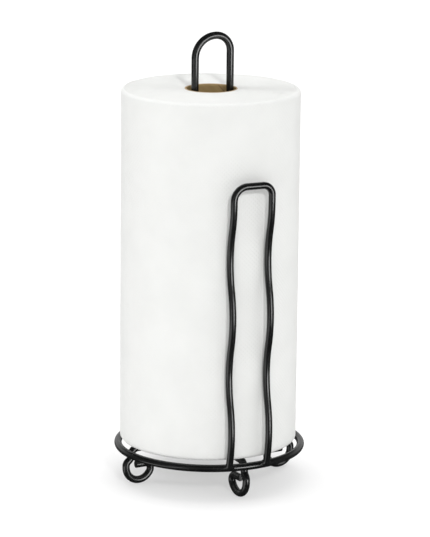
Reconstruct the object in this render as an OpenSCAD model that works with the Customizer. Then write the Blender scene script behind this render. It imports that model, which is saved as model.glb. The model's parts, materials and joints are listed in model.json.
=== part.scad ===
// Free-standing paper towel holder bent from round steel wire, with a roll on its post.
// Millimetres. +Z is up and the origin is on the table, under the middle of the post.
// -Y points to the tension arm, and the post's flat loop lies in the XZ plane.

/* [Wire] */
// Diameter of the wire of the ring, the legs and the post
wire_d = 5.8; // [5:0.1:6]
// Diameter of the tension arm's wire
arm_wire_d = 5.5; // [5:0.1:5.6]

/* [Base ring] */
// Radius of the ring, to the middle of its wire
ring_r = 72.3; // [72:0.1:73]
// Height of the middle of the ring's wire above the table
ring_z = 27.4; // [27.4:0.1:32]

/* [Legs and scroll feet] */
// How much higher the spokes lie than the ring
spoke_rise = 2; // [1.5:0.1:2.5]
// Radius of the bend that takes a spoke down inside the ring
shoulder_r = 6; // [5.5:0.1:6.2]
// How far the leg steps outwards under the ring
leg_jog = 4; // [3:0.1:4]
// Slope of that outward step
jog_turn = 53; // [50:1:60]
// Radius of the foot's large curl
curl_r = 11.2; // [10:0.1:11.2]
// Turn of the large curl
curl_turn = 150; // [145:1:155]
// Radius of the tight bend that closes the curl
hook_r = 4.5; // [4:0.1:4.6]
// Length of the straight end inside the curl
hook_len = 8.6; // [6:0.1:8.8]
// Sideways twist of the curl about the upright part of the leg
curl_twist = 6; // [0:0.5:8]

/* [Post] */
// Distance between the post's two uprights, middle to middle
post_w = 29.5; // [26:0.1:29.6]
// Height of the holder, from the table to the top of the post's loop
holder_h = 355.6; // [345:0.1:380]
// Radius of the wide bend on the left of the loop; the right bend takes the rest
loop_left_r = 17; // [14.8:0.1:18]

/* [Tension arm] */
// Distance between the arm's two uprights, middle to middle
arm_w = 31.5; // [31:0.1:36]
// Height of the middle of the arm's top bar above the ring
arm_rise = 222; // [222:1:240]
// Radius of the wide left corner of the arm
corner_left_r = 11; // [9:0.1:12]
// Radius of the right corner of the arm
corner_right_r = 7.5; // [7:0.1:10]
// Distance from the post's axis to the hollows of the wave
wave_hollow = 71.5; // [71.5:0.1:72]
// Radius of the wave's crests and hollows
wave_r = 88; // [86:0.5:90]
// Steepest slope of the wave
wave_tilt = 14.8; // [14.4:0.1:15]
// Height of the highest outward crest above the ring
wave_top = 208.8; // [208.5:0.1:210]

/* [Paper roll] */
// Outer diameter of the full roll
roll_d = 139.8; // [100:0.1:139.8]
// Width of the towels, which is the height of the roll
roll_h = 279.4; // [250:0.1:285]
// Inner diameter of the cardboard core
core_id = 38.7; // [38.7:0.1:42]
// Wall of the cardboard core
core_wall = 1.1; // [0.8:0.1:2]
// How far the loose roll sits to the left on its post
roll_shift = 1.2; // [0:0.1:1.2]
// Radius of the roll's soft edges
roll_edge_r = 3; // [1:0.5:4]

/* [Hidden] */
$fn = 64;

steel = "#1b1c1c";
wire_r = wire_d / 2;
arm_wire_r = arm_wire_d / 2;

// Two bends never meet: a short straight link joins them
link = 0.4;
// A straight is a hair thinner than a bend, and its ends reach a little way into the
// bends beside it, so that every joint is a clean overlap
lap = 0.1;
lap_step = 0.03;

// Clearance under the roll, and round the parts that move against each other
rest_gap = 0.2;
run_gap = 0.3;

// The spokes are level, and the roll stands on them
spoke_z = ring_z + spoke_rise;
spoke_top = spoke_z + wire_r;

// The two leg wires touch back to back in the middle of the base
hub_bend_r = wire_r / (sqrt(2) - 1);

// The shoulder bend is placed so that the leg just touches the inside of the ring
shoulder_z = spoke_z - shoulder_r;
shoulder_drop = ring_z - shoulder_z;
shoulder_mid = ring_r - sqrt(pow(shoulder_r + wire_d, 2) - pow(shoulder_drop, 2));
touch_angle = asin(shoulder_drop / (shoulder_r + wire_d));

// The outward step under the ring is two equal bends, one each way
jog_bend_r = (leg_jog - link * sin(jog_turn)) / (2 * (1 - cos(jog_turn)));
jog_height = 2 * jog_bend_r * sin(jog_turn) + link * cos(jog_turn);
curl_z = curl_r + wire_r;

// The post stands on the spokes, on a low pad of weld
post_foot_gap = 0.3;
post_foot_z = spoke_top + post_foot_gap;
loop_z = holder_h - wire_r;
loop_right_r = post_w - loop_left_r - link;

// Crests and hollows are arcs of one radius, joined by a link at the steepest slope
half_waves = 4;
wave_step = 2 * wave_r * sin(wave_tilt) + link * cos(wave_tilt);
wave_depth = 2 * wave_r * (1 - cos(wave_tilt)) + link * sin(wave_tilt);

// Where the lowest bend of the wave starts: its height above the ring and its distance
// from the post's axis
wave_foot = wave_top - half_waves * wave_step - wave_r * sin(wave_tilt);
wave_foot_y = wave_hollow + wave_depth - wave_r * (1 - cos(wave_tilt));

// The arm's cut ends stop just short of the ring's upper outer flank
arm_foot_r = norm([arm_w / 2, wave_foot_y]);
arm_foot_reach = (arm_foot_r - ring_r) * sin(wave_tilt) + wave_foot * cos(wave_tilt);
arm_end = arm_foot_reach - wire_r - run_gap;

// The roll and its core
roll_z = spoke_top + rest_gap;
core_r = core_id / 2;
core_out_r = core_r + core_wall;
roll_edge_steps = 6;

// Weld beads, blobs and pads
ring_bead_r = 1.8;
hub_bead_r = 1.5;
hub_bead_rise = 2.7;
arm_blob_r = 3.7;
post_pad_h = 2.6;
post_pad_foot_r = 4.1;
post_pad_top_r = 3;

// Angle from one leg to the next
leg_spacing = 90;

// How far a cutting shape runs past the face it cuts
cut = 1;

// One leg, from the end of the middle bend out to the cut end inside its foot
LEG = [
  ["feed", shoulder_mid - hub_bend_r],
  ["bend", shoulder_r, 90],
  ["feed", link],
  ["turn", 180],
  ["bend", jog_bend_r, jog_turn],
  ["feed", link],
  ["turn", 180],
  ["bend", jog_bend_r, jog_turn],
  ["feed", shoulder_z - link - jog_height - curl_z],
  ["turn", -curl_twist],
  ["bend", curl_r, curl_turn],
  ["feed", link],
  ["bend", hook_r, 270 - curl_turn],
  ["feed", hook_len]
];

// The post, from the foot of its left upright over the loop to the foot of the right one
POST = [
  ["feed", loop_z - loop_left_r - post_foot_z],
  ["bend", loop_left_r, 90],
  ["feed", link],
  ["bend", loop_right_r, 90],
  ["feed", loop_z - loop_right_r - post_foot_z]
];

// One upright of the arm, from its cut end to the highest crest of the wave
UPRIGHT = [
  ["feed", arm_end],
  for (i = [1:half_waves])
    each [["bend", wave_r, 2 * wave_tilt], ["feed", link], ["turn", 180]],
  ["bend", wave_r, wave_tilt]
];

// The whole arm, up the left upright, along the top bar and down the right upright
ARM = [
  each UPRIGHT,
  ["turn", -90],
  ["feed", arm_rise - corner_left_r - wave_top],
  ["bend", corner_left_r, 90],
  ["feed", arm_w - corner_left_r - corner_right_r],
  ["bend", corner_right_r, 90],
  ["feed", arm_rise - corner_right_r - wave_top],
  ["turn", 90],
  for (i = [len(UPRIGHT) - 1:-1:0]) UPRIGHT[i]
];

// --- Wire bending -------------------------------------------------------------------
// A wire is a list of steps. "feed" pushes out a straight length, "bend" curves it
// towards its own +X with a radius and an angle, and "turn" rolls it about itself.

function shift(v) = [[1, 0, 0, v.x], [0, 1, 0, v.y], [0, 0, 1, v.z], [0, 0, 0, 1]];
function roll_about_z(a) =
  [[cos(a), -sin(a), 0, 0], [sin(a), cos(a), 0, 0], [0, 0, 1, 0], [0, 0, 0, 1]];
function tip_about_y(a) =
  [[cos(a), 0, sin(a), 0], [0, 1, 0, 0], [-sin(a), 0, cos(a), 0], [0, 0, 0, 1]];

// Where the wire's end goes in one step
function step_move(s) =
  s[0] == "feed" ? shift([0, 0, s[1]]) :
  s[0] == "turn" ? roll_about_z(s[1]) :
  shift([s[1] * (1 - cos(s[2])), 0, s[1] * sin(s[2])]) * tip_about_y(s[2]);

// Where step n of a wire starts
function step_start(steps, n) =
  n == 0 ? shift([0, 0, 0]) : step_start(steps, n - 1) * step_move(steps[n - 1]);

// A quarter, half or other part of a ring, starting at the origin along +Z
module bent_wire(r, angle, d) {
  translate([r, 0, 0])
    rotate([90, 0, 180])
      rotate_extrude(angle = angle)
        translate([r, 0])
          circle(d = d);
}

// Draws a wire. A wire that grows out of another bend starts with a lead of one lap.
module wire(steps, d, lead = 0) {
  last = len(steps) - 1;
  for (n = [0:last])
    multmatrix(step_start(steps, n)) {
      before = n == 0 ? lead : lap;
      after = n == last ? 0 : lap;
      if (steps[n][0] == "feed")
        translate([0, 0, -before])
          cylinder(d = d - 2 * lap_step, h = before + steps[n][1] + after);
      if (steps[n][0] == "bend")
        bent_wire(steps[n][1], steps[n][2], d);
    }
}

// --- Base ---------------------------------------------------------------------------

module ring_wire() {
  translate([0, 0, ring_z])
    rotate_extrude($fn = 256)
      translate([ring_r, 0])
        circle(d = wire_d);
}

module base_ring() {
  color(steel) ring_wire();
}

// One spoke with its foot, pointing at the given angle about the post
module leg(angle) {
  rotate([0, 0, angle])
    translate([hub_bend_r, 0, spoke_z])
      rotate([0, 90, 0])
        wire(LEG, wire_d, lead = lap);
}

// Two legs bent from one wire, with a rounded corner beside the middle
module leg_pair() {
  leg(180);
  leg(270);
  translate([-hub_bend_r, -hub_bend_r, spoke_z])
    rotate_extrude(angle = 90)
      translate([hub_bend_r, 0])
        circle(d = wire_d);
}

module leg_wire_front() {
  color(steel) leg_pair();
}

module leg_wire_back() {
  color(steel) rotate([0, 0, 180]) leg_pair();
}

// --- Post and arm -------------------------------------------------------------------

module post_loop() {
  color(steel)
    translate([-post_w / 2, 0, post_foot_z])
      wire(POST, wire_d);
}

// Moves what it is given to the foot of the arm's left (-1) or right (+1) upright,
// with +Z up along the tilted wire
module at_arm_foot(side) {
  translate([side * arm_w / 2, -wave_foot_y, ring_z + wave_foot])
    rotate([wave_tilt, 0, 0])
      rotate([0, 0, 90])
        translate([0, 0, -arm_end])
          children();
}

module tension_arm() {
  color(steel) at_arm_foot(-1) wire(ARM, arm_wire_d);
}

// --- Welds --------------------------------------------------------------------------

// Two beads in the crevices where each leg crosses the inside of the ring
module ring_welds() {
  touch = shoulder_r + wire_r;
  color(steel)
    for (angle = [0:leg_spacing:270], side = [-1, 1])
      rotate([0, 0, angle])
        difference() {
          translate([
            shoulder_mid + touch * cos(touch_angle),
            side * wire_r,
            shoulder_z + touch * sin(touch_angle)
          ])
            sphere(r = ring_bead_r);
          ring_wire();
          translate([shoulder_mid, 0, spoke_z])
            rotate([0, 90, 0])
              bent_wire(shoulder_r, 90, wire_d);
        }
}

// A bead above and a bead below the place where the two leg wires touch
module hub_welds() {
  color(steel)
    for (side = [-1, 1])
      difference() {
        translate([0, 0, spoke_z + side * hub_bead_rise])
          sphere(r = hub_bead_r);
        for (turn = [0, 180])
          rotate([0, 0, turn])
            translate([hub_bend_r, hub_bend_r, spoke_z])
              rotate([0, 0, 180])
                rotate_extrude(angle = 90)
                  translate([hub_bend_r, 0])
                    circle(d = wire_d);
      }
}

// A low cone of weld under each end of the post, saddled on its spoke
module post_welds() {
  color(steel)
    for (side = [-1, 1])
      translate([side * post_w / 2, 0, 0])
        difference() {
          translate([0, 0, post_foot_z - post_pad_h])
            cylinder(r1 = post_pad_foot_r, r2 = post_pad_top_r, h = post_pad_h);
          translate([-post_pad_foot_r - cut, 0, spoke_z])
            rotate([0, 90, 0])
              cylinder(d = wire_d, h = 2 * (post_pad_foot_r + cut));
        }
}

// A blob of weld round each cut end of the arm, on the outer flank of the ring
module arm_welds() {
  color(steel)
    for (side = [-1, 1])
      difference() {
        at_arm_foot(side) sphere(r = arm_blob_r);
        ring_wire();
        at_arm_foot(side)
          translate([0, 0, -run_gap])
            cylinder(r = arm_wire_r + run_gap, h = 2 * arm_blob_r);
      }
}

// --- Roll ---------------------------------------------------------------------------

module core_tube() {
  color("#a9835a")
    translate([-roll_shift, 0, roll_z])
      difference() {
        cylinder(r = core_out_r, h = roll_h);
        translate([0, 0, -cut])
          cylinder(r = core_r, h = roll_h + 2 * cut);
      }
}

// The wound paper, with its two outer edges rounded in small steps
module paper_roll() {
  in_r = core_out_r + run_gap;
  edge_mid = roll_d / 2 - roll_edge_r;
  top = [
    for (i = [0:roll_edge_steps])
      [
        edge_mid + roll_edge_r * cos(90 * i / roll_edge_steps),
        roll_h - roll_edge_r * (1 - sin(90 * i / roll_edge_steps))
      ]
  ];
  bottom = [for (i = [roll_edge_steps:-1:0]) [top[i].x, roll_h - top[i].y]];
  color("#f4f4f1")
    translate([-roll_shift, 0, roll_z])
      rotate_extrude()
        polygon([[in_r, 0], each bottom, each top, [in_r, roll_h]]);
}

base_ring();
leg_wire_front();
leg_wire_back();
post_loop();
tension_arm();
ring_welds();
hub_welds();
post_welds();
arm_welds();
core_tube();
paper_roll();
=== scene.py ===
# %% [markdown]
# # A wire paper towel holder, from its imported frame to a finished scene
# The frame holds every wire, weld and roll at its real size, in metres. This lesson gives
# them their looks: powder-coated steel, soft white paper and brown board. It never moves
# or resizes what the frame holds.

import json
import math

import bmesh
import bpy
import numpy as np
from mathutils import Matrix, Vector, noise


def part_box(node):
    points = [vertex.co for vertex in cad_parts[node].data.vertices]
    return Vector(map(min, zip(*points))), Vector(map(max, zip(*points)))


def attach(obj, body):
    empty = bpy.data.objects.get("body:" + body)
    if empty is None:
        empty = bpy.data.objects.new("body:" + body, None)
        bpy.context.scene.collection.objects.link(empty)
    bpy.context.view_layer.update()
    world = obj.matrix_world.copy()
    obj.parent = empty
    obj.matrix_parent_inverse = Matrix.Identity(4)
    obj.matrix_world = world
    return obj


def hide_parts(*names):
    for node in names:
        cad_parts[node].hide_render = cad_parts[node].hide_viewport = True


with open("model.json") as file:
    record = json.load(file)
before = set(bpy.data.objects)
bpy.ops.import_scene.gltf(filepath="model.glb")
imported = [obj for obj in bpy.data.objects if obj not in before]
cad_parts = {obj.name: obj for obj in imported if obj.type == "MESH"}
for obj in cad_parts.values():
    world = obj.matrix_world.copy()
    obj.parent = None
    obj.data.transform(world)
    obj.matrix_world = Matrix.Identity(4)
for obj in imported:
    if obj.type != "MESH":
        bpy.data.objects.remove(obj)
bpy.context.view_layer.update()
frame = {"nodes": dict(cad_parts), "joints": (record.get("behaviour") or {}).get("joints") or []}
MM = 0.001

# %% [markdown]
# ## Camera
# The holder is seen from in front and a little above, with the arm turned about 24 degrees
# to the right. A long lens keeps the uprights nearly parallel, and the camera leans by half
# a degree, as a camera held by hand does.

# %% Camera
CAMERA_AZIMUTH = math.radians(-24.11)
CAMERA_DISTANCE = 2.317
CAMERA_HEIGHT = 0.7197
CAMERA_PITCH = math.radians(13.38)
CAMERA_LEAN = math.radians(0.56)
CAMERA_STEP_RIGHT = 0.0033
CAMERA_LENS_MM = 204.0
CAMERA_SENSOR_MM = 36.0
CAMERA_SEES = (0.1, 50)

scene = bpy.context.scene
camera_data = bpy.data.cameras.new("camera")
camera = bpy.data.objects.new("camera", camera_data)
scene.collection.objects.link(camera)
right = Vector((math.cos(CAMERA_AZIMUTH), math.sin(CAMERA_AZIMUTH), 0))
away = Vector((-math.sin(CAMERA_AZIMUTH), math.cos(CAMERA_AZIMUTH), 0))
up = Vector((0, 0, 1))
camera.location = right * CAMERA_STEP_RIGHT - away * CAMERA_DISTANCE + up * CAMERA_HEIGHT
heading = Matrix.Rotation(CAMERA_AZIMUTH, 3, "Z")
tilt = Matrix.Rotation(math.radians(90) - CAMERA_PITCH, 3, "X")
lean = Matrix.Rotation(CAMERA_LEAN, 3, "Z")
camera.rotation_euler = (heading @ tilt @ lean).to_euler()
camera_data.lens = CAMERA_LENS_MM
camera_data.sensor_width = CAMERA_SENSOR_MM
camera_data.clip_start, camera_data.clip_end = CAMERA_SEES
scene.camera = camera
print("camera at", [round(v, 3) for v in camera.location])

# %% [markdown]
# ## Helpers for node trees
# Materials, the sky and the Geometry Nodes below are all node trees. One helper adds a
# node and fills its sockets: a value is typed in, and another node's socket is joined.

# %% Node helper
def add_node(tree, kind, sockets=None, **settings):
    """Adds a node. sockets maps a socket's name or number to a value or to a socket."""
    made = tree.nodes.new(kind)
    for key, value in settings.items():
        setattr(made, key, value)
    for key, value in (sockets or {}).items():
        if isinstance(value, bpy.types.NodeSocket):
            tree.links.new(value, made.inputs[key])
        else:
            made.inputs[key].default_value = value
    return made


def add_math(tree, operation, first, second=0.0):
    """One step of arithmetic in a node tree."""
    return add_node(tree, "ShaderNodeMath", {0: first, 1: second}, operation=operation).outputs[0]


# %% [markdown]
# ## Sky
# The paper wants even white light from all round, and black gloss wants darkness with a few
# bright things in it to show. A product studio gets both with a white tent that has black
# cards in it. Here the sky's node tree does the same, because the Light Path node tells the
# rays apart. A mirrored ray sees a dark studio with five soft boxes, which draw pale streaks
# down the wires. A scattered ray sees a plain white dome. A ray straight from the camera
# sees white, so that the backdrop is clean.

# %% Directions in the sky
scene.view_settings.view_transform = "Standard"
world = bpy.data.worlds.new("studio")
world.use_nodes = True
scene.world = world
sky = world.node_tree
looking = add_node(sky, "ShaderNodeTexCoord").outputs["Generated"]
rise = add_node(sky, "ShaderNodeSeparateXYZ", {0: looking}).outputs["Z"]
print("sky:", world.name)


def fade(value, start, end, low, high):
    """A soft step in the sky from one brightness to another."""
    return add_node(sky, "ShaderNodeMapRange", {
        "Value": value, "From Min": start, "From Max": end, "To Min": low, "To Max": high},
        interpolation_type="SMOOTHSTEP").outputs["Result"]


def towards_side(side):
    """The level direction that is side degrees to the right of the camera."""
    return right * math.sin(math.radians(side)) - away * math.cos(math.radians(side))


# %% Soft boxes
# A box fades at its sides between these shares of its half width, and at its ends over
# this much of the sine of its rise.
BOX_SOFT_EDGES = (1.3, 0.7)
BOX_SOFT_ENDS = 0.1
# Each box: its side and half width in degrees, the sines of its lowest and highest rise,
# and its brightness.
SOFT_BOXES = [
    (44, 15, -0.24, 0.08, 9.5),
    (-38, 8, -0.35, -0.1, 3.0),
    (-70, 22, -0.55, -0.3, 1.8),
    (0, 45, 0.1, 0.3, 0.4),
    (180, 60, 0.0, 0.4, 0.6),
]


def soft_box(side, half_width, low, high, brightness):
    """Brightness of one soft box in the sky, with soft edges all round."""
    level = add_math(sky, "SQRT", add_math(sky, "SUBTRACT", 1.0, add_math(sky, "POWER", rise, 2.0)))
    facing = add_node(sky, "ShaderNodeVectorMath", {
        0: looking, 1: towards_side(side)}, operation="DOT_PRODUCT").outputs["Value"]
    facing = add_math(sky, "DIVIDE", facing, level)
    edges = [math.cos(math.radians(half_width * share)) for share in BOX_SOFT_EDGES]
    across = fade(facing, *edges, 0.0, brightness)
    bottom = fade(rise, low - BOX_SOFT_ENDS, low, 0.0, 1.0)
    top = fade(rise, high, high + BOX_SOFT_ENDS, 1.0, 0.0)
    return add_math(sky, "MULTIPLY", across, add_math(sky, "MULTIPLY", bottom, top))


# %% Sky
DOME = 0.42
BACKDROP = 1.0
STUDIO_HAZE = 0.11
STUDIO_DARK = 0.02
# The haze comes in and thins out between these sines of the rise.
HAZE_FLOOR = (-0.6, -0.2)
HAZE_CEILING = (0.3, 0.8)
CEILING_SHARE = 0.1


def choose(kind, otherwise, seen):
    """The brightness seen by one kind of ray, and the one that all others see otherwise."""
    return add_node(sky, "ShaderNodeMix", {
        "Factor": rays[kind], "A": otherwise, "B": seen}).outputs["Result"]


studio = add_math(sky, "MULTIPLY", fade(rise, *HAZE_FLOOR, STUDIO_DARK, STUDIO_HAZE),
                  fade(rise, *HAZE_CEILING, 1.0, CEILING_SHARE))
for shape in SOFT_BOXES:
    studio = add_math(sky, "ADD", studio, soft_box(*shape))
rays = add_node(sky, "ShaderNodeLightPath").outputs
glow = choose("Is Camera Ray", choose("Is Glossy Ray", DOME, studio), BACKDROP)
sky.links.new(glow, sky.nodes["Background"].inputs["Strength"])
sky.nodes["Background"].inputs["Color"].default_value = (1, 1, 1, 1)
print("dome", DOME, "and", len(SOFT_BOXES), "soft boxes in haze of", STUDIO_DARK, "to", STUDIO_HAZE)

# %% [markdown]
# ## Lamps
# The dome alone would leave the roll flat. Four far lamps shape it: a small key lamp in
# front, a wide one on each side, and a wide one high behind that lights the roll's top
# without a hard line on its rim. The wires don't mirror them, because the soft boxes are
# there for that.

# %% Lamps
def soft_lamp(name, side, height, power, width):
    """A far lamp. All angles are in degrees, and side goes to the right of the camera."""
    lamp = bpy.data.lights.new(name, "SUN")
    lamp.energy = power
    lamp.angle = math.radians(width)
    made = bpy.data.objects.new(name, lamp)
    scene.collection.objects.link(made)
    towards = towards_side(side) * math.cos(math.radians(height))
    towards += up * math.sin(math.radians(height))
    made.rotation_euler = towards.to_track_quat("Z", "Y").to_euler()
    made.visible_glossy = False
    return made


lamps = [
    soft_lamp("key", side=14, height=28, power=1.15, width=8),
    soft_lamp("left_fill", side=-85, height=20, power=0.92, width=50),
    soft_lamp("right_fill", side=80, height=20, power=0.25, width=50),
    soft_lamp("top", side=180, height=78, power=1.6, width=60),
]
print("lamps:", [lamp.name for lamp in lamps])

# %% [markdown]
# ## Floor
# A wide pale sheet. It glows a little, as a lit table does in a product studio, so that
# shadows on it stay light. Its glow is turned down under the base, which paints shade on
# the floor under the holder. The wires don't mirror it, because a real set has dark stands
# and cloth round the table that keep black gloss black.

# %% Floor
FLOOR_HALF = 8.0
FLOOR_COLOUR = 0.42
FLOOR_GLOW = 0.62
# Painted shade under the holder: near the post the glow drops to this, and it fades back to full
# between these two distances.
GLOW_UNDER_BASE_PAINTED_SHADE = 0.42
PAINTED_SHADE_FADE_START = 20 * MM
PAINTED_SHADE_FADE_END = 120 * MM

floor_mesh = bpy.data.meshes.new("floor")
corners = [(-1, -1), (1, -1), (1, 1), (-1, 1)]
floor_mesh.from_pydata([(x * FLOOR_HALF, y * FLOOR_HALF, 0) for x, y in corners], [], [(0, 1, 2, 3)])
floor = bpy.data.objects.new("floor", floor_mesh)
scene.collection.objects.link(floor)
floor_material = bpy.data.materials.new("floor")
floor_material.use_nodes = True
floor_tree = floor_material.node_tree
floor_shader = floor_tree.nodes["Principled BSDF"]
floor_shader.inputs["Base Color"].default_value = (FLOOR_COLOUR,) * 3 + (1,)
floor_shader.inputs["Roughness"].default_value = 1.0
floor_shader.inputs["Specular IOR Level"].default_value = 0.0
floor_shader.inputs["Emission Color"].default_value = (1, 1, 1, 1)
floor_place = add_node(floor_tree, "ShaderNodeTexCoord").outputs["Object"]
floor_reach = add_node(floor_tree, "ShaderNodeVectorMath", {
    0: floor_place}, operation="LENGTH").outputs["Value"]
# The glow with shade painted in under the base, growing back with distance from the post.
floor_glow_with_painted_shade = add_node(floor_tree, "ShaderNodeMapRange", {
    "Value": floor_reach, "From Min": PAINTED_SHADE_FADE_START, "From Max": PAINTED_SHADE_FADE_END,
    "To Min": GLOW_UNDER_BASE_PAINTED_SHADE, "To Max": FLOOR_GLOW}, interpolation_type="SMOOTHSTEP").outputs["Result"]
floor_tree.links.new(floor_glow_with_painted_shade, floor_shader.inputs["Emission Strength"])
floor_mesh.materials.append(floor_material)
floor.visible_glossy = False
print("floor", 2 * FLOOR_HALF, "m wide")

# %% [markdown]
# ## Powder coat
# The wires are sprayed with black powder and baked. That leaves a satin skin with a fine
# orange peel, a little duller in patches. Two sizes of noise on the Object coordinates
# make the peel, so that it has its real size on every wire. The welds get the same coat
# over a rougher ground.

# %% Finish helpers
def new_finish(name):
    """A material with its node tree, its shader and its Object coordinates."""
    material = bpy.data.materials.new(name)
    material.use_nodes = True
    tree = material.node_tree
    place = add_node(tree, "ShaderNodeTexCoord").outputs["Object"]
    return material, tree, tree.nodes["Principled BSDF"], place


def speckle(tree, place, size, detail=2.0):
    """Noise whose lumps are about size metres across, from 0 to 1."""
    return add_node(tree, "ShaderNodeTexNoise", {
        "Vector": place, "Scale": 0.5 / size, "Detail": detail}).outputs["Fac"]


def between(tree, value, low, high, start=0.3, end=0.7):
    """Maps a noise value to the range from low to high."""
    return add_node(tree, "ShaderNodeMapRange", {
        "Value": value, "From Min": start, "From Max": end,
        "To Min": low, "To Max": high}).outputs["Result"]


def colour_between(tree, value, first, second):
    """Mixes two colours by a value from 0 to 1."""
    mix = add_node(tree, "ShaderNodeMix", {
        "Factor": value, "A": (*first, 1), "B": (*second, 1)}, data_type="RGBA")
    return mix.outputs["Result"]


def add_bump(tree, height, depth, under=None):
    """A bump whose full height is depth metres, laid over another bump if given."""
    sockets = {"Height": height, "Distance": depth, "Strength": 1.0}
    if under is not None:
        sockets["Normal"] = under
    return add_node(tree, "ShaderNodeBump", sockets).outputs["Normal"]


# %% Powder coat
BLACK = (0.0040, 0.0043, 0.0043)
BLACK_WORN = (0.0080, 0.0084, 0.0083)
COAT_GLOSS = 0.45
COAT_ROUGHNESS = (0.19, 0.25)
PATCH_SIZE = 9 * MM
PEEL_SIZE = 0.7 * MM
PEEL_DEPTH = 0.009 * MM


def powder_coat(name, lump, lump_depth):
    """Black satin powder coat over a ground with lumps of the given size."""
    material, tree, shader, place = new_finish(name)
    shader.inputs["Specular IOR Level"].default_value = COAT_GLOSS
    patches = between(tree, speckle(tree, place, PATCH_SIZE), 0.0, 1.0)
    tree.links.new(colour_between(tree, patches, BLACK, BLACK_WORN), shader.inputs["Base Color"])
    tree.links.new(between(tree, patches, *COAT_ROUGHNESS, 0, 1), shader.inputs["Roughness"])
    ground = add_bump(tree, speckle(tree, place, lump), lump_depth)
    peel = add_bump(tree, speckle(tree, place, PEEL_SIZE), PEEL_DEPTH, ground)
    tree.links.new(peel, shader.inputs["Normal"])
    return material


# %% Coat the wires
wire_coat = powder_coat("powder_coat", lump=4 * MM, lump_depth=0.02 * MM)
weld_coat = powder_coat("powder_coat_weld", lump=1.4 * MM, lump_depth=0.12 * MM)
WIRES = ["base_ring", "leg_wire_front", "leg_wire_back", "post_loop", "tension_arm"]
for name in WIRES:
    frame["nodes"][name].data.materials.clear()
    frame["nodes"][name].data.materials.append(wire_coat)
print("coated:", WIRES)

# %% [markdown]
# ## Welds
# Each joint of the real holder is a small puddle of melted steel that wets both wires and
# hollows into the corner between them. A ball put at the joint and pushed out until it
# lies on the smooth union of the two wires has just that shape. Away from the corner the
# ball ends a hair under the wires' skins, so nothing of it shows there. This is quicker
# and cleaner than sculpting or remeshing, because every weld is a formula.

# %% Where the wires run
def to_ring(middle, axis, radius):
    """Distance from points to a circle in space."""
    def distance(points):
        offset = points - middle
        along = offset @ axis
        flat = np.linalg.norm(offset - along[:, None] * axis, axis=1)
        return np.hypot(flat - radius, along)
    return distance


def to_line(start, direction):
    """Distance from points to a straight wire that begins at start."""
    def distance(points):
        offset = points - start
        along = np.maximum(offset @ direction, 0)
        return np.linalg.norm(offset - along[:, None] * direction, axis=1)
    return distance


# %% Measures of the wires
ring_low, ring_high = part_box("base_ring")
leg_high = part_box("leg_wire_front")[1]
post_low, post_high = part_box("post_loop")
arm_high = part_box("tension_arm")[1]
WIRE_R = post_high.y
ARM_WIRE_R = 2.75 * MM
SHOULDER_R = 6 * MM
ARM_TILT = math.radians(14.8)
ring_z = (ring_low.z + ring_high.z) / 2
ring_r = ring_high.y - WIRE_R
spoke_z = leg_high.z - WIRE_R
shoulder_z = spoke_z - SHOULDER_R
shoulder_x = ring_r - math.sqrt((SHOULDER_R + 2 * WIRE_R) ** 2 - (ring_z - shoulder_z) ** 2)
hub_r = WIRE_R / (math.sqrt(2) - 1)
post_x = post_high.x - WIRE_R
ACROSS = np.array((1.0, 0, 0))
UPWARDS = np.array((0, 0, 1.0))
ring_line = to_ring(np.array((0, 0, ring_z)), UPWARDS, ring_r)
print("wire radius", round(WIRE_R / MM, 2), "ring radius", round(ring_r / MM, 2), "mm")


# %% Weld maker
WELD_SINK = 0.2 * MM
WELD_RIPPLE = 0.16 * MM
WELD_GRAIN = 1.3 * MM
WELD_CORE = 0.2 * MM
WELD_FINENESS = 5
WELD_STEPS = 80


def weld_depth(points, wires, spread):
    """How far points lie outside the smooth union of two wires, each sunk a little."""
    first, second = [line(points) - radius + WELD_SINK for line, radius in wires]
    share = np.clip(0.5 + 0.5 * (second - first) / spread, 0, 1)
    return second + (first - second) * share - spread * share * (1 - share)


def weld_blob(middle, wires, spread, reach):
    """Points and faces of one weld. spread is how far it creeps from the corner of the wires."""
    ball = bmesh.new()
    bmesh.ops.create_icosphere(ball, subdivisions=WELD_FINENESS, radius=1.0)
    out = np.array([v.co for v in ball.verts])
    faces = [[v.index for v in face.verts] for face in ball.faces]
    ball.free()
    distance = np.zeros(len(out))
    for _ in range(WELD_STEPS):
        step = -weld_depth(middle + out * distance[:, None], wires, spread)
        distance = np.clip(distance + step, WELD_CORE, reach)
    ripple = [noise.noise(Vector(p) / WELD_GRAIN) for p in middle + out * distance[:, None]]
    distance += np.array(ripple) * WELD_RIPPLE
    return middle + out * distance[:, None], faces


def finish_piece(name, mesh, material, body, replaced=()):
    """Puts a finished mesh in the scene, riding on its body."""
    mesh.name = name
    mesh.materials.clear()
    mesh.materials.append(material)
    mesh.shade_smooth()
    made = bpy.data.objects.new(name, mesh)
    scene.collection.objects.link(made)
    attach(made, body)
    if replaced:
        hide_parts(*replaced)
    mesh.calc_loop_triangles()
    print(name, "has", len(mesh.loop_triangles), "triangles")


def weld_piece(name, blobs, node):
    """One object from several welds, standing for the frame's plain ones."""
    points, faces = [], []
    for blob_points, blob_faces in blobs:
        faces += [[index + len(points) for index in face] for face in blob_faces]
        points += [tuple(point) for point in blob_points]
    mesh = bpy.data.meshes.new(name)
    mesh.from_pydata(points, [], faces)
    finish_piece(name, mesh, weld_coat, "base", [node])


# %% Welds of the base
POST_FOOT_SHARE = 0.6


def turned(point, angle):
    """A point turned about the post by angle degrees."""
    return np.array(Matrix.Rotation(math.radians(angle), 3, "Z") @ Vector(point))


def leg_weld(angle):
    """Where one leg's shoulder touches the inside of the ring."""
    shoulder = turned((shoulder_x, 0, shoulder_z), angle)
    line = to_ring(shoulder, turned((0, 1, 0), angle), SHOULDER_R)
    touch = turned((ring_r, 0, ring_z), angle)
    middle = touch + (shoulder - touch) / np.linalg.norm(shoulder - touch) * WIRE_R
    return weld_blob(middle, [(ring_line, WIRE_R), (line, WIRE_R)], spread=3.0 * MM, reach=5 * MM)


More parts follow.
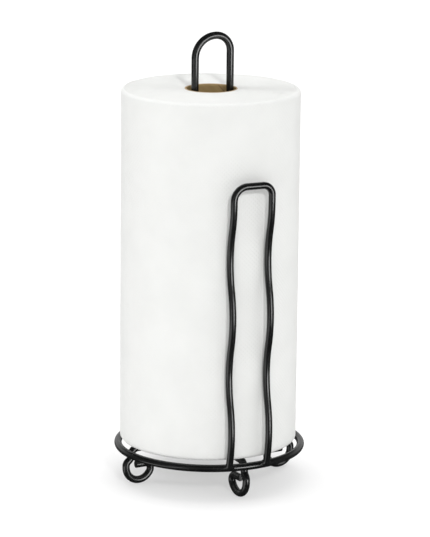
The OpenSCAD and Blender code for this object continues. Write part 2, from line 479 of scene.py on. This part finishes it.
def hub_weld():
    """Where the two bent leg wires touch back to back."""
    bends = [np.array((side * hub_r, side * hub_r, spoke_z)) for side in (-1, 1)]
    wires = [(to_ring(bend, UPWARDS, hub_r), WIRE_R) for bend in bends]
    return weld_blob(np.array((0, 0, spoke_z)), wires, spread=3.4 * MM, reach=5 * MM)


def post_weld(side):
    """Where one foot of the post stands on its spoke."""
    foot = np.array((side * post_x, 0, post_low.z + POST_FOOT_SHARE * WIRE_R))
    spoke_start = np.array((side * hub_r, 0, spoke_z))
    wires = [(to_line(foot, UPWARDS), WIRE_R), (to_line(spoke_start, side * ACROSS), WIRE_R)]
    middle = np.array((side * post_x, 0, post_low.z))
    return weld_blob(middle, wires, spread=3.2 * MM, reach=6 * MM)


weld_piece("leg_weld_beads", [leg_weld(angle) for angle in (0, 90, 180, 270)], "ring_welds")
weld_piece("hub_weld_bead", [hub_weld()], "hub_welds")
weld_piece("post_weld_beads", [post_weld(side) for side in (-1, 1)], "post_welds")

# %% Welds of the arm
arm_joint = next(joint for joint in frame["joints"] if joint["name"] == "arm_flex")
arm_x = arm_high.x - ARM_WIRE_R
arm_foot = np.array(arm_joint["pos_m"])
arm_rise = np.array((0, -math.sin(ARM_TILT), math.cos(ARM_TILT)))


def arm_weld(side):
    """Where one end of the arm meets the outer flank of the ring."""
    foot = arm_foot + np.array((side * arm_x, 0, 0))
    line = to_line(foot, arm_rise)
    flank = np.array((*(foot[:2] / np.linalg.norm(foot[:2]) * ring_r), ring_z))
    middle = (foot + flank) / 2
    wires = [(ring_line, WIRE_R), (line, ARM_WIRE_R)]
    return weld_blob(middle, wires, spread=3.6 * MM, reach=6.5 * MM)


weld_piece("arm_weld_beads", [arm_weld(side) for side in (-1, 1)], "arm_welds")

# %% [markdown]
# ## Helpers for wound and turned shapes
# The roll and its core are both closed skins: a grid of points that runs round the post
# one way and round the wall's cross-section the other way. One helper builds the grid,
# joins both ways round and stores a flat coordinate for finishes that follow the
# surface. A second one runs a Geometry Nodes tree and keeps its result as a mesh.

# %% Skin helper
def skin_mesh(name, columns, rows, point, flat):
    """A closed skin. point and flat give the place and the flat coordinate of a crossing."""
    grid = bmesh.new()
    verts = [[grid.verts.new(point(column, row)) for row in range(rows)] for column in range(columns)]
    layer = grid.loops.layers.uv.new("flat")
    for column in range(columns):
        for row in range(rows):
            crossings = [(column, row), (column + 1, row), (column + 1, row + 1), (column, row + 1)]
            face = grid.faces.new([verts[c % columns][r % rows] for c, r in crossings])
            for loop, (c, r) in zip(face.loops, crossings):
                loop[layer].uv = flat(c, r)
    bmesh.ops.recalc_face_normals(grid, faces=grid.faces)
    mesh = bpy.data.meshes.new(name)
    grid.to_mesh(mesh)
    grid.free()
    return mesh


# %% Geometry Nodes helpers
def new_tree(name, inputs):
    """A Geometry Nodes tree with named inputs. Returns it and its inputs' sockets."""
    tree = bpy.data.node_groups.new(name, "GeometryNodeTree")
    for label, kind in inputs.items():
        tree.interface.new_socket(label, in_out="INPUT", socket_type="NodeSocket" + kind)
    tree.interface.new_socket("Geometry", in_out="OUTPUT", socket_type="NodeSocketGeometry")
    return tree, add_node(tree, "NodeGroupInput").outputs


def end_tree(tree, geometry, material):
    """Every tree ends alike: instances made real, then the finish put on."""
    real = add_node(tree, "GeometryNodeRealizeInstances", {0: geometry}).outputs[0]
    coated = add_node(tree, "GeometryNodeSetMaterial", {"Geometry": real, "Material": material})
    add_node(tree, "NodeGroupOutput", {0: coated.outputs[0]})


def grow(tree, values):
    """Runs a tree with the given inputs and returns its result as a plain mesh."""
    holder = bpy.data.objects.new("holder", bpy.data.meshes.new("holder"))
    scene.collection.objects.link(holder)
    modifier = holder.modifiers.new("grow", "NODES")
    modifier.node_group = tree
    for item in tree.interface.items_tree:
        if item.in_out == "INPUT":
            modifier[item.identifier] = values[item.name]
    evaluated = holder.evaluated_get(bpy.context.evaluated_depsgraph_get())
    mesh = bpy.data.meshes.new_from_object(evaluated)
    holder.modifiers.remove(modifier)
    bpy.data.objects.remove(holder)
    return mesh


# %% [markdown]
# ## Paper finishes
# Kitchen paper is soft, white and matt, and pressed with small dots so that its plies
# hold together. The dots are a plain grid of round dents, turned a little, on the flat
# coordinate of the wall, so they run round the roll without a stretch. The wound ends
# have no dots: there the cut fibres show, as fine noise.

# %% Paper finishes
PAPER = (0.80, 0.805, 0.79)
PAPER_SHADE = (0.77, 0.775, 0.76)
PAPER_ROUGHNESS = 0.92
PAPER_GLOSS = 0.15
CLOUD_SIZE = 14 * MM
DOT_SPACING = 2.4 * MM
DOT_ROWS_TURN = math.radians(45)
DOT_EDGES = (0.12, 0.42)
DOT_DEPTH = 0.07 * MM
FIBRE_SIZE = 0.35 * MM
FIBRE_DEPTH = 0.035 * MM
FIBRE_DETAIL = 4.0


def paper_base(name):
    """Soft matt white with a faint cloudiness and a skin of fine fibres."""
    material, tree, shader, place = new_finish(name)
    shader.inputs["Roughness"].default_value = PAPER_ROUGHNESS
    shader.inputs["Specular IOR Level"].default_value = PAPER_GLOSS
    clouds = between(tree, speckle(tree, place, CLOUD_SIZE), 0.0, 1.0)
    tree.links.new(colour_between(tree, clouds, PAPER, PAPER_SHADE), shader.inputs["Base Color"])
    fibres = add_bump(tree, speckle(tree, place, FIBRE_SIZE, FIBRE_DETAIL), FIBRE_DEPTH)
    return material, tree, shader, fibres


def dotted_paper():
    """The wall's paper, with its pressed dots."""
    material, tree, shader, fibres = paper_base("paper_dotted")
    flat = add_node(tree, "ShaderNodeUVMap", uv_map="flat").outputs["UV"]
    turned_flat = add_node(tree, "ShaderNodeMapping", {
        "Vector": flat, "Rotation": (0, 0, DOT_ROWS_TURN)}).outputs["Vector"]
    dots = add_node(tree, "ShaderNodeTexVoronoi", {
        "Vector": turned_flat, "Scale": 1 / DOT_SPACING, "Randomness": 0.0},
        voronoi_dimensions="2D").outputs["Distance"]
    dents = between(tree, dots, 0.0, 1.0, *DOT_EDGES)
    tree.links.new(add_bump(tree, dents, DOT_DEPTH, fibres), shader.inputs["Normal"])
    return material


def plain_paper(name):
    """Paper without dots, for cut edges."""
    material, tree, shader, fibres = paper_base(name)
    tree.links.new(fibres, shader.inputs["Normal"])
    return material


wall_paper = dotted_paper()
edge_paper = plain_paper("paper_edge")
print("paper finishes:", wall_paper.name, edge_paper.name)

# %% [markdown]
# ## Wall of the roll
# One sheet is wound round and round, so the wall isn't a true circle: it creeps inwards
# by one sheet in each turn and ends in a step, the free edge of the last towel. The free
# edge stands off a little. The rims are soft, and the whole wall has shallow hollows from
# handling. All of that is a formula for the radius at each place.

# %% Cross-section of the wall
SHEET = 0.42 * MM
WALL_CLEARANCE = 0.05 * MM
BORE_CLEARANCE = 0.2 * MM
END_SINK = 0.25 * MM
RIM_R = 3 * MM
RIM_ROWS = 8
WALL_ROWS = 126

paper_low, paper_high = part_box("paper_roll")
core_low, core_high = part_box("core_tube")
roll_x = (paper_low.x + paper_high.x) / 2
roll_r = paper_high.y - WALL_CLEARANCE
core_r = core_high.y
arcs = [math.radians(90) * step / RIM_ROWS for step in range(RIM_ROWS + 1)]
rim_low = [(RIM_R * (1 - math.sin(arc)), RIM_R * (1 - math.cos(arc))) for arc in arcs]
height_low, height_high = paper_low.z, paper_high.z
wall_span = height_high - height_low - 2 * RIM_R
profile = [(inset, height_low + rise) for inset, rise in rim_low]
profile += [(0, height_low + RIM_R + wall_span * row / WALL_ROWS) for row in range(1, WALL_ROWS)]
profile += [(inset, height_high - rise) for inset, rise in reversed(rim_low)]
bore_inset = roll_r - core_r - BORE_CLEARANCE
profile += [(RIM_R, height_high - END_SINK), (bore_inset, height_high - END_SINK)]
profile += [(bore_inset, height_low + END_SINK), (RIM_R, height_low + END_SINK)]
print("roll radius", round(roll_r / MM, 2), "mm, core radius", round(core_r / MM, 2), "mm")


# %% Wall of the roll
TAIL_ANGLE = math.radians(130)
TAIL_LIFT = 0.15 * MM
TAIL_REACH = 9 * MM
HOLLOW_DEPTH = 0.12 * MM
HOLLOW_SIZE = 28 * MM
WALL_COLUMNS = 217


def wall_radius(turn, height):
    """Radius of the wall, turn being the share of a turn from the free edge."""
    angle = turn * math.tau
    place = Vector((math.cos(angle) * roll_r, math.sin(angle) * roll_r, height)) / HOLLOW_SIZE
    hollow = HOLLOW_DEPTH * (0.5 + 0.5 * noise.noise(place))
    along = turn * math.tau * roll_r
    lift = TAIL_LIFT * math.exp(-(along / TAIL_REACH) ** 2)
    return roll_r - TAIL_LIFT + lift - SHEET * turn - hollow


def wall_turn(column):
    """Share of a turn at a column: the first and the last meet at the free edge."""
    return column / (WALL_COLUMNS - 1)


def wall_point(column, row):
    """Place of a crossing. The bore is a true circle, and all else follows the sheet."""
    inset, height = profile[row]
    turn = wall_turn(column)
    radius = (roll_r if inset == bore_inset else wall_radius(turn, height)) - inset
    angle = TAIL_ANGLE + turn * math.tau
    return (roll_x + radius * math.cos(angle), radius * math.sin(angle), height)


def wall_flat(column, row):
    """Metres round and up the wall. The row past the last one is the first again."""
    return (wall_turn(column) * math.tau * roll_r, profile[row % len(profile)][1])


wall = skin_mesh("towel_wall", WALL_COLUMNS, len(profile), wall_point, wall_flat)
finish_piece("towel_wall", wall, wall_paper, "paper", ["paper_roll"])

# %% [markdown]
# ## Wound ends
# From above, a roll shows the edge of its one sheet, wound from the core out to the rim.
# A spiral curve follows a rule, so Geometry Nodes make it: a spiral, bent down over the
# soft rim, roughened a little, and swept with a small round profile.

# %% Tree of a wound end
TURN_STEPS = 60
EDGE_SIDES = 6
WOBBLES_PER_METRE = 420.0


def wound_end_tree():
    """A sheet's edge wound in a flat spiral. Side is 1 for the top and -1 for the bottom."""
    tree, given = new_tree("wound_end", {
        "Turns": "Float", "Inner Radius": "Float", "Outer Radius": "Float", "Sheet": "Float",
        "Rim Radius": "Float", "Wobble": "Float", "Side": "Float", "Place": "Vector",
        "Seed": "Float", "Coat": "Material"})
    spiral = add_node(tree, "GeometryNodeCurveSpiral", {
        "Resolution": TURN_STEPS, "Rotations": given["Turns"], "Start Radius": given["Inner Radius"],
        "End Radius": given["Outer Radius"], "Height": 0.0}).outputs[0]
    place = add_node(tree, "GeometryNodeInputPosition").outputs[0]
    radius = add_node(tree, "ShaderNodeVectorMath", {0: place}, operation="LENGTH").outputs["Value"]
    rim_start = add_math(tree, "SUBTRACT", given["Outer Radius"], given["Rim Radius"])
    past_rim = add_math(tree, "MAXIMUM", add_math(tree, "SUBTRACT", radius, rim_start), 0.0)
    squares = [add_math(tree, "POWER", length, 2.0) for length in (given["Rim Radius"], past_rim)]
    rise = add_math(tree, "SQRT", add_math(tree, "SUBTRACT", squares[0], squares[1]))
    drop = add_math(tree, "SUBTRACT", given["Rim Radius"], rise)
    rough = add_node(tree, "ShaderNodeTexNoise", {
        "Vector": place, "W": given["Seed"], "Scale": WOBBLES_PER_METRE, "Detail": 1.0},
        noise_dimensions="4D").outputs["Fac"]
    sunk = add_math(tree, "ADD", drop, add_math(tree, "MULTIPLY", rough, given["Wobble"]))
    level = add_math(tree, "MULTIPLY", sunk, add_math(tree, "MULTIPLY", given["Side"], -1.0))
    bent = add_node(tree, "GeometryNodeSetPosition", {
        "Geometry": spiral,
        "Offset": add_node(tree, "ShaderNodeCombineXYZ", {"Z": level}).outputs[0]}).outputs[0]
    half_sheet = add_math(tree, "MULTIPLY", given["Sheet"], 0.5)
    edge = add_node(tree, "GeometryNodeCurvePrimitiveCircle", {
        "Resolution": EDGE_SIDES, "Radius": half_sheet}).outputs[0]
    swept = add_node(tree, "GeometryNodeCurveToMesh", {
        "Curve": bent, "Profile Curve": edge, "Fill Caps": True}).outputs[0]
    placed = add_node(tree, "GeometryNodeTransform", {
        "Geometry": swept, "Translation": given["Place"]}).outputs[0]
    end_tree(tree, placed, given["Coat"])
    return tree


# %% Wound ends
EDGE_WOBBLE = 0.3 * MM
WOUND_ENDS = (("top", 1, height_high, 3.0), ("bottom", -1, height_low, 8.0))

wound_nodes = wound_end_tree()
inner_turn = core_r + SHEET / 2
outer_turn = roll_r - TAIL_LIFT - SHEET
turns = (outer_turn - inner_turn) / SHEET
for name, side, height, seed in WOUND_ENDS:
    wound = grow(wound_nodes, {
        "Turns": turns, "Inner Radius": inner_turn, "Outer Radius": outer_turn, "Sheet": SHEET,
        "Rim Radius": RIM_R + SHEET, "Wobble": EDGE_WOBBLE, "Side": side,
        "Place": (roll_x, 0, height - side * SHEET / 2), "Seed": seed, "Coat": edge_paper})
    finish_piece("wound_end_" + name, wound, edge_paper, "paper")
print("turns of paper:", round(turns, 1))

# %% [markdown]
# ## Perforation
# Every towel tears off along a row of short cuts. The first row is one towel's length
# round the roll from the free edge. The same tree makes the torn paper teeth that the last
# tear left along the free edge: a line of points up the wall with one small rounded shape
# on each.

# %% Tree of a row of cuts or teeth
def stitch_tree():
    """A row of small rounded shapes up the wall, all turned alike."""
    tree, given = new_tree("perforation", {
        "Count": "Int", "Spacing": "Float", "Size": "Vector", "Start": "Vector",
        "Turn": "Float", "Coat": "Material"})
    step = add_node(tree, "ShaderNodeCombineXYZ", {"Z": given["Spacing"]}).outputs[0]
    line = add_node(tree, "GeometryNodeMeshLine", {
        "Count": given["Count"], "Start Location": given["Start"], "Offset": step}).outputs[0]
    bead = add_node(tree, "GeometryNodeMeshUVSphere", {
        "Segments": 8, "Rings": 6, "Radius": 0.5}).outputs[0]
    turn = add_node(tree, "ShaderNodeCombineXYZ", {"Z": given["Turn"]}).outputs[0]
    row = add_node(tree, "GeometryNodeInstanceOnPoints", {
        "Points": line, "Instance": bead, "Rotation": turn, "Scale": given["Size"]}).outputs[0]
    end_tree(tree, row, given["Coat"])
    return tree


# %% Perforation
TOWEL_LENGTH = 279.4 * MM
CUT_SPACING = 6.2 * MM
CUT_SIZE = (0.18 * MM, 0.35 * MM, 5.0 * MM)
CUT_SINK = 0.06 * MM
TOOTH_SIZE = (0.24 * MM, 0.7 * MM, 1.1 * MM)
TOOTH_SINK = 0.16 * MM

slit_finish = plain_paper("paper_slit")
stitch_nodes = stitch_tree()
cut_count = round(wall_span / CUT_SPACING)
cut_step = wall_span / cut_count
cut_turn = TOWEL_LENGTH / (math.tau * roll_r)
for name, turn, size, sink in (("perforation", cut_turn, CUT_SIZE, CUT_SINK),
                               ("torn_edge", 0.0, TOOTH_SIZE, TOOTH_SINK)):
    angle = TAIL_ANGLE + turn * math.tau
    radius = wall_radius(turn, (height_low + height_high) / 2) - sink
    stitches = grow(stitch_nodes, {
        "Count": cut_count, "Spacing": cut_step, "Size": size,
        "Start": (roll_x + radius * math.cos(angle), radius * math.sin(angle),
                  height_low + RIM_R + cut_step / 2),
        "Turn": angle, "Coat": slit_finish})
    finish_piece(name, stitches, slit_finish, "paper")
print("perforation", round(math.degrees(cut_turn * math.tau)), "degrees round from the free edge")

# %% [markdown]
# ## Cardboard core
# The core is wound from strips of grey-brown board that run round it as a slow screw, so
# a seam climbs its inside. The wall is a turned skin with a shallow step along that screw
# line, and its two cut rims are a little uneven. The same screw, worked out again in the
# finish, draws the seam and the grain of the board.

# %% Cardboard finish
BOARD = (0.33, 0.23, 0.105)
BOARD_LIGHT = (0.38, 0.275, 0.13)
BOARD_CUT = (0.50, 0.37, 0.23)
BOARD_SEAM = (0.16, 0.095, 0.05)
BOARD_ROUGHNESS = 0.88
BOARD_GLOSS = 0.2
GRAIN_SIZE = 1.6 * MM
GRAIN_ACROSS, GRAIN_ALONG = 2, 0.2
CUT_RIM_FADE = (0.5 * MM, 0.3 * MM)
BOARD_FIBRE_SIZE = 0.5 * MM
BOARD_FIBRE_DEPTH = 0.05 * MM
SEAM_PITCH = 118 * MM
SEAM_SHARE = 0.006


def cardboard():
    """Brown board: screw-wound grain, a darker seam and a paler cut rim at the top."""
    material, tree, shader, place = new_finish("cardboard_core")
    shader.inputs["Roughness"].default_value = BOARD_ROUGHNESS
    shader.inputs["Specular IOR Level"].default_value = BOARD_GLOSS
    centred = add_node(tree, "ShaderNodeMapping", {
        "Vector": place, "Location": (-roll_x, 0, 0)}).outputs["Vector"]
    axes = add_node(tree, "ShaderNodeSeparateXYZ", {0: centred}).outputs
    angle = add_math(tree, "ARCTAN2", axes["Y"], axes["X"])
    turn = add_math(tree, "DIVIDE", angle, math.tau)
    screw = add_math(tree, "SUBTRACT", turn, add_math(tree, "DIVIDE", axes["Z"], SEAM_PITCH))
    strip = add_math(tree, "FRACT", screw)
    grain_place = add_node(tree, "ShaderNodeCombineXYZ", {
        "X": add_math(tree, "MULTIPLY", screw, SEAM_PITCH * GRAIN_ACROSS),
        "Y": add_math(tree, "MULTIPLY", turn, SEAM_PITCH * GRAIN_ALONG)}).outputs[0]
    grain = between(tree, speckle(tree, grain_place, GRAIN_SIZE, FIBRE_DETAIL), 0.0, 1.0)
    colour = colour_between(tree, grain, BOARD, BOARD_LIGHT)
    off_seam = add_math(tree, "ABSOLUTE", add_math(tree, "SUBTRACT", strip, 0.5))
    seam = between(tree, off_seam, 1.0, 0.0, 0.0, SEAM_SHARE)
    seamed = add_node(tree, "ShaderNodeMix", {
        "Factor": seam, "A": colour, "B": (*BOARD_SEAM, 1)}, data_type="RGBA").outputs["Result"]
    top_rim = between(tree, axes["Z"], 0.0, 1.0, *[core_high.z - depth for depth in CUT_RIM_FADE])
    finished = add_node(tree, "ShaderNodeMix", {
        "Factor": top_rim, "A": seamed, "B": (*BOARD_CUT, 1)}, data_type="RGBA").outputs["Result"]
    tree.links.new(finished, shader.inputs["Base Color"])
    fibres = add_bump(
        tree, speckle(tree, place, BOARD_FIBRE_SIZE, FIBRE_DETAIL), BOARD_FIBRE_DEPTH)
    tree.links.new(fibres, shader.inputs["Normal"])
    return material


# %% Cardboard core
CORE_COLUMNS = 120
CORE_ROWS = 140
CORE_WALL = 1.1 * MM
CORE_CLEARANCE = 0.02 * MM
SEAM_DEPTH = 0.12 * MM
SEAM_FADE = 0.04
RIM_ROUGHNESS = 0.15 * MM
RIM_BUMPS = 9


def seam_step(angle, height):
    """How far the inside stands back at a place, from the overlap of the board's strips."""
    strip = (angle / math.tau - height / SEAM_PITCH + 0.5) % 1
    return SEAM_DEPTH * math.exp(-strip / SEAM_FADE)


def core_point(column, row):
    """Place of a crossing: rows go up the inside and come down again outside."""
    angle = math.tau * column / CORE_COLUMNS
    outside = row >= CORE_ROWS
    level = (row if not outside else 2 * CORE_ROWS - 1 - row) / (CORE_ROWS - 1)
    height = core_low.z + (core_high.z - core_low.z) * level
    uneven = noise.noise(Vector((math.cos(angle), math.sin(angle), level)) * RIM_BUMPS)
    if level in (0, 1):
        height += RIM_ROUGHNESS * (0.5 + 0.5 * uneven) * (1 if level == 0 else -1)
    if outside:
        radius = core_r - CORE_CLEARANCE
    else:
        radius = core_r - CORE_WALL + seam_step(angle, height)
    return (roll_x + radius * math.cos(angle), radius * math.sin(angle), height)


def core_flat(column, row):
    """Shares of the way round and along the skin."""
    return (column / CORE_COLUMNS, row / CORE_ROWS)


core = skin_mesh("core_tube_board", CORE_COLUMNS, 2 * CORE_ROWS, core_point, core_flat)
finish_piece("core_tube_board", core, cardboard(), "core", ["core_tube"])
